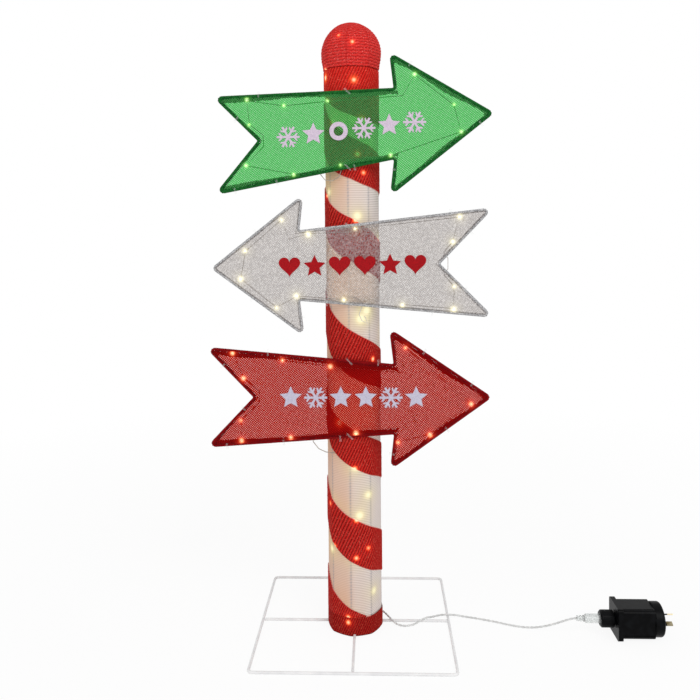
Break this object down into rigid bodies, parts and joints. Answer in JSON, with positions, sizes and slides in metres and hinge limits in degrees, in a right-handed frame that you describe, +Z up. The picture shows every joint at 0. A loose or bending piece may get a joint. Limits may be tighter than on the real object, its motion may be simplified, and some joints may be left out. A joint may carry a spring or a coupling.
{
  "type": "pre-lit signpost",
  "caption": "Free-standing light-up signpost: striped fabric post with a ball top, mesh arrow signs on wire frames, a square wire base, light strings and a plug-in lead.",
  "frame": {"origin": "middle of the square base, on the ground", "axes": "+Z up along the post, -Y the side that the signs face, +X towards the upper sign's tip and the plug"},
  "size_m": [0.6665, 0.284, 0.896],
  "materials": {
    "white_wire": "satin",
    "white_cloth": "soft",
    "red_tinsel": "shiny thread",
    "green_mesh": "shiny thread",
    "silver_mesh": "shiny thread",
    "red_mesh": "shiny thread",
    "string_wire": "matte",
    "lamp": "gloss",
    "tie": "gloss",
    "clear_lead": "gloss",
    "clear_connector": "gloss",
    "black_plastic": "satin",
    "pin_metal": "polished",
    "pin_sleeve": "satin"
  },
  "bodies": {
    "root": {"base_ring": "white_wire", "base_side_bar": "white_wire", "base_front_bars": "white_wire", "post_cage": "white_wire", "post_sleeve": "white_cloth", "foot_hem": "red_tinsel", "spiral_band": "red_tinsel", "post_light_string": "string_wire", "post_lamps": "lamp", "ball_cage": "white_wire", "ball_cover": "red_tinsel", "upper_sign_frame": "white_wire", "upper_sign_mesh": "green_mesh", "upper_sign_string": "string_wire", "upper_sign_lamps": "lamp", "upper_sign_ties": "tie", "middle_sign_frame": "white_wire", "middle_sign_mesh": "silver_mesh", "middle_sign_string": "string_wire", "middle_sign_lamps": "lamp", "middle_sign_ties": "tie", "lower_sign_frame": "white_wire", "lower_sign_mesh": "red_mesh", "lower_sign_string": "string_wire", "lower_sign_lamps": "lamp", "lower_sign_ties": "tie", "lead": "clear_lead", "strain_relief": "clear_lead", "lead_connector": "clear_connector", "screw_collar": "black_plastic", "supply_box": "black_plastic", "plug_head": "black_plastic", "plug_pins": "pin_metal", "pin_sleeves": "pin_sleeve"}
  },
  "joints": []
}
